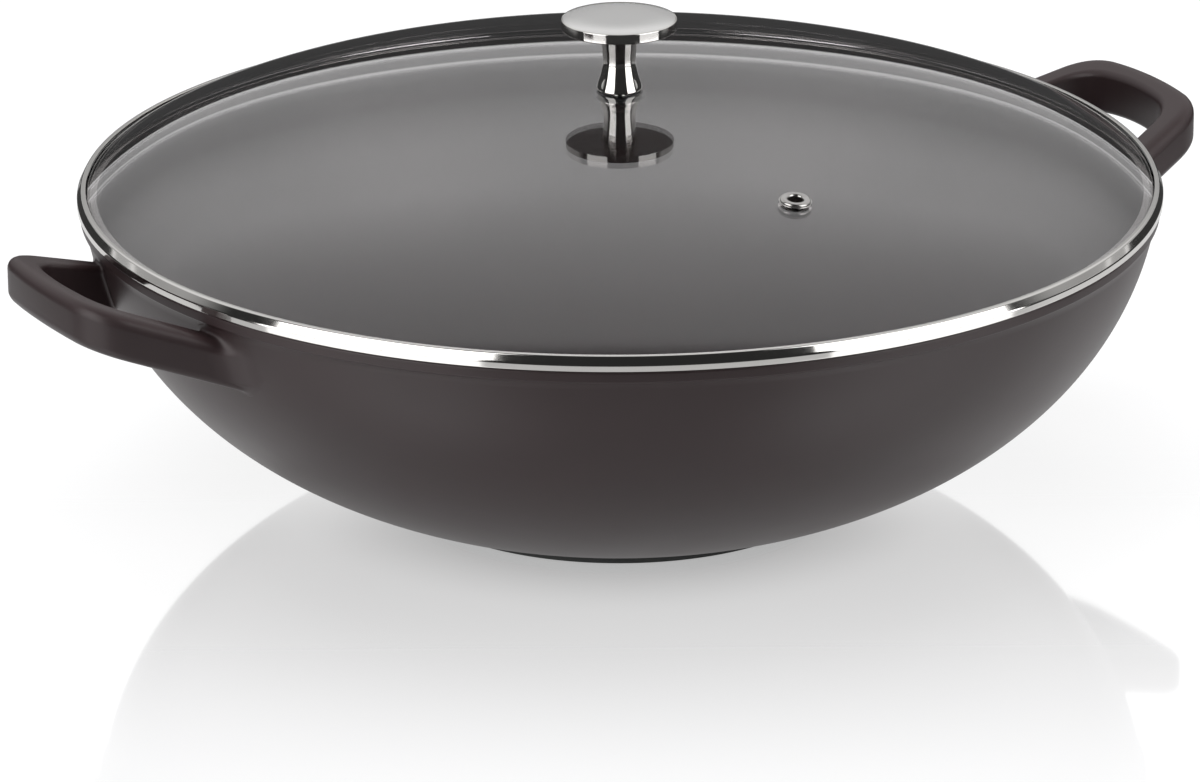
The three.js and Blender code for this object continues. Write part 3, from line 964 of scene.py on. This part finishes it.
table = {
    "radius": 2.5,
    "colour": "#f2f3f5",
    "lift": 0.85,  # white that the camera, mirrors and glass see besides the lamps' light
    "bounce": 0.8,  # share of white in the light that it throws up at the object
    "lit": 0.22,  # share of the lamps' light, which holds the shadow
    "gloss": 0.34,  # reflection in front of the foot
    "contactShade": 0.2,  # more reflection close to the foot: the dark foot it mirrors is real, the added strength there is painted contact shade
    "contactShadeOut": (0.065, 0.118),  # m from the middle, where the painted contact shade fades out
    "inMetal": 0.37,  # reflection that metal sees in the table
    "glossIn": (-0.05, 0.05),  # m from the middle towards the camera: the reflection comes in
    "glossOut": (0.06, 0.34),  # and fades away
    "mirrored": 0.05,  # what metal and glass see where the white ends
    "mirrorReach": (0.48, 0.54),  # m from the middle, where the white ends for them
    "mirrorBack": (-0.42, -0.36),  # and where it ends behind the object
    "polish": 0.05,
    "segments": 96,
}


def makeTable(t):  # white glass table whose reflection fades towards the camera
    material, tree, shader = newMaterial("white glossy table")
    tree.nodes.remove(shader)
    seen = raySwitch(tree, "Is Camera Ray", "Is Glossy Ray", "Is Transmission Ray")
    white = hexLinear(t["colour"])
    bounced = [c * t["bounce"] for c in white[:3]] + [1]
    lit = addNode(tree, "ShaderNodeBsdfDiffuse", links={"Color": bounced})
    lift = addNode(tree, "ShaderNodeEmission", links={"Strength": t["lift"]})
    shaded = [c * t["lit"] for c in white[:3]] + [1]
    faint = addNode(tree, "ShaderNodeBsdfDiffuse", links={"Color": shaded})
    pale = addNode(tree, "ShaderNodeAddShader", links={0: faint.outputs[0], 1: lift.outputs[0]})
    byCamera = raySwitch(tree, "Is Camera Ray")
    byMirror = raySwitch(tree, "Is Glossy Ray")
    byOptics = raySwitch(tree, "Is Glossy Ray", "Is Transmission Ray")
    place = addNode(tree, "ShaderNodeTexCoord").outputs["Object"]
    ahead = addNode(tree, "ShaderNodeVectorMath", {"operation": "DOT_PRODUCT"}, {0: place, 1: toCamera})
    ahead = ahead.outputs["Value"]
    away = addNode(tree, "ShaderNodeVectorMath", {"operation": "LENGTH"}, {0: place}).outputs["Value"]
    near = glide(tree, away, *t["mirrorReach"], 1.0, 0.0)
    inside = times(tree, near, glide(tree, ahead, *t["mirrorBack"], 0.0, 1.0))
    outside = addNode(tree, "ShaderNodeMath", {"operation": "SUBTRACT"}, {0: 1.0, 1: inside}).outputs[0]
    dim = addNode(tree, "ShaderNodeEmission", links={"Strength": t["mirrored"]})
    beyond = times(tree, outside, byOptics)
    pale = addNode(tree, "ShaderNodeMixShader", links={0: beyond, 1: pale.outputs[0], 2: dim.outputs[0]})
    matt = addNode(tree, "ShaderNodeMixShader", links={0: seen, 1: lit.outputs[0], 2: pale.outputs[0]})
    gain = 1 / tent["grey"]  # the grey tent looks white in the table
    tint = addNode(tree, "ShaderNodeMix", {"data_type": "RGBA"}, {"Factor": byCamera})
    tint.inputs["A"].default_value = (1, 1, 1, 1)
    tint.inputs["B"].default_value = (gain, gain, gain, 1)
    mirror = addNode(tree, "ShaderNodeBsdfGlossy", links={"Color": tint.outputs["Result"]})
    mirror.inputs["Roughness"].default_value = t["polish"]
    comesIn = glide(tree, ahead, *t["glossIn"], 0.0, 1.0)
    fadesOut = glide(tree, ahead, *t["glossOut"], t["gloss"], 0.0, "LINEAR")
    # painted contact shade: the table mirrors more of the dark foot close to it, darkening the table
    # round the foot
    contactShade = glide(tree, away, *t["contactShadeOut"], t["contactShade"], 0.0)
    strength = addNode(tree, "ShaderNodeMath", {"operation": "ADD"}, {0: fadesOut, 1: contactShade}).outputs[0]
    front = times(tree, times(tree, comesIn, strength), byCamera)
    inMetal = times(tree, byMirror, t["inMetal"])
    share = addNode(tree, "ShaderNodeMath", {"operation": "ADD"}, {0: front, 1: inMetal}).outputs[0]
    layers = {0: share, 1: matt.outputs[0], 2: mirror.outputs[0]}
    mixed = addNode(tree, "ShaderNodeMixShader", links=layers)
    tree.links.new(mixed.outputs[0], tree.nodes["Material Output"].inputs["Surface"])
    turns = spread(0, 2 * math.pi, t["segments"])[:-1]
    edge = [Vector((math.cos(a), math.sin(a), 0)) * t["radius"] for a in turns]
    stagePiece("table", edge, [range(len(edge))], material)


def glide(tree, value, start, end, low, high, kind="SMOOTHSTEP"):  # low before start, high after end
    links = {"Value": value, "From Min": start, "From Max": end, "To Min": low, "To Max": high}
    return addNode(tree, "ShaderNodeMapRange", {"interpolation_type": kind}, links).outputs[0]


def times(tree, a, b):
    return addNode(tree, "ShaderNodeMath", {"operation": "MULTIPLY"}, {0: a, 1: b}).outputs[0]


tent = {
    "radius": 2.4,
    "height": 0.13,  # middle of the tent, at the lid
    "foot": 0.045,
    "grey": 0.52,
    "greys": ((13, 0.44), (17, 0.47), (25, 0.82), (33, 1.02), (45, 0.88), (70, 0.85)),  # by degrees
    "dark": 0.03,  # the studio behind the camera
    "darkFrom": -0.2,  # where the tent ends, as a share of its radius towards the camera
    "darkTo": 0.05,
    "lines": ((5.9, 1.5), (9.5, 1.4)),  # bright seams: degrees above the lid, brightness
    "seam": 0.5,  # half width of a seam in degrees
    "segments": 128,
}


def makeTent(t):  # grey behind and above, black at its foot, dark in front, for mirrors and glass alone
    material, tree, shader = newMaterial("light tent")
    tree.nodes.remove(shader)
    place = addNode(tree, "ShaderNodeTexCoord").outputs["Object"]
    height = addNode(tree, "ShaderNodeSeparateXYZ", links={0: place}).outputs["Z"]
    level = glide(tree, height, 0.0, t["radius"], 0.0, 1.0, "LINEAR")
    ramp = addNode(tree, "ShaderNodeValToRGB", links={0: level})
    stops = [(0, t["foot"])]
    for angle, bright in t["lines"]:
        stops += [(angle - t["seam"], stops[-1][1]), (angle, bright), (angle + t["seam"], t["grey"])]
    stops += t["greys"]
    elements = ramp.color_ramp.elements
    for i, (angle, value) in enumerate(stops):
        position = math.sin(math.radians(angle))
        stop = elements[0] if i == 0 else elements.new(position)
        stop.position = position
        stop.color = (value, value, value, 1)
    elements[-1].color = elements[-2].color
    ahead = addNode(tree, "ShaderNodeVectorMath", {"operation": "DOT_PRODUCT"}, {0: place, 1: toCamera})
    edges = (t["darkFrom"] * t["radius"], t["darkTo"] * t["radius"])
    front = glide(tree, ahead.outputs["Value"], *edges, 0.0, 1.0)
    shade = addNode(tree, "ShaderNodeMix", {"data_type": "RGBA"}, {"Factor": front})
    tree.links.new(ramp.outputs["Color"], shade.inputs["A"])
    shade.inputs["B"].default_value = (t["dark"], t["dark"], t["dark"], 1)
    glow = addNode(tree, "ShaderNodeEmission", links={"Color": shade.outputs["Result"]})
    tree.links.new(glow.outputs[0], tree.nodes["Material Output"].inputs["Surface"])
    bm = bmesh.new()
    count = t["segments"]
    bmesh.ops.create_uvsphere(bm, u_segments=count, v_segments=count, radius=t["radius"])
    mesh = bpy.data.meshes.new("tent")
    bm.to_mesh(mesh)
    bm.free()
    mesh.materials.append(material)
    piece = bpy.data.objects.new("tent", mesh)
    piece.location = (0, 0, t["height"])
    scene.collection.objects.link(piece)
    onlyMirrored(piece)


def onlyMirrored(piece):  # seen in metal and glass alone, the camera and the lamps pass through
    piece.visible_camera = False
    piece.visible_diffuse = False
    piece.visible_shadow = False


def makeSoftbox(name, turns, s):  # card bent round the middle
    material, tree, shader = newMaterial(name)
    tree.nodes.remove(shader)
    light = addNode(tree, "ShaderNodeEmission", links={"Strength": s["glow"]})
    tree.links.new(light.outputs[0], tree.nodes["Material Output"].inputs["Surface"])
    columns = spread(*turns, s["steps"])
    points = [around(turn, s["distance"], height) for turn in columns for height in (0, s["height"])]
    faces = [(2 * i, 2 * i + 2, 2 * i + 3, 2 * i + 1) for i in range(s["steps"])]
    piece = stagePiece(name, points, faces, material)
    onlyMirrored(piece)


def makeLamp(name, place, lamp):  # lights the object, the cards show in metal and glass
    data = bpy.data.lights.new(name, "AREA")
    data.shape = "RECTANGLE"
    data.size, data.size_y = lamp["size"]
    data.energy = lamp["power"]
    piece = bpy.data.objects.new(name, data)
    piece.location = Vector(place)
    piece.rotation_euler = (Vector(lamp["aim"]) - Vector(place)).to_track_quat("-Z", "Y").to_euler()
    piece.visible_glossy = False
    piece.visible_transmission = False
    scene.collection.objects.link(piece)


def makeWorld(strength):
    world = bpy.data.worlds.new("studio")
    scene.world = world
    world.use_nodes = True
    tree = world.node_tree
    seen = raySwitch(tree, "Is Camera Ray", "Is Glossy Ray", "Is Transmission Ray")
    shares = {"Factor": seen, "A": strength, "B": 1.0}
    level = addNode(tree, "ShaderNodeMix", {"data_type": "FLOAT"}, shares)
    background = tree.nodes["Background"]
    background.inputs["Color"].default_value = (1, 1, 1, 1)
    tree.links.new(level.outputs["Result"], background.inputs["Strength"])


softbox = {
    "left": (-74, -27),  # degrees from the camera
    "right": (41, 84),
    "distance": 1.3,
    "height": 2.3,
    "glow": 3.0,
    "steps": 24,
}
overheadLamp = {
    "place": (0, 0.2, 1.6),  # places and sizes in m, power in W
    "aim": (0, 0, 0),
    "size": (1.6, 1.6),
    "power": 24,
}
sideLamp = {
    "left": -48,  # degrees from the camera
    "right": 98,
    "distance": 1.7,
    "height": 0.75,
    "aim": (0, 0, 0.1),
    "size": (1.2, 1.0),
    "power": 7,
}
worldLight = 0.42  # even light of the room

makeWorld(worldLight)
makeTable(table)
makeTent(tent)
makeSoftbox("left softbox", softbox["left"], softbox)
makeSoftbox("right softbox", softbox["right"], softbox)
makeLamp("overhead", overheadLamp["place"], overheadLamp)
for side in ("left", "right"):
    makeLamp(side, around(sideLamp[side], sideLamp["distance"], sideLamp["height"]), sideLamp)
print("stage set")
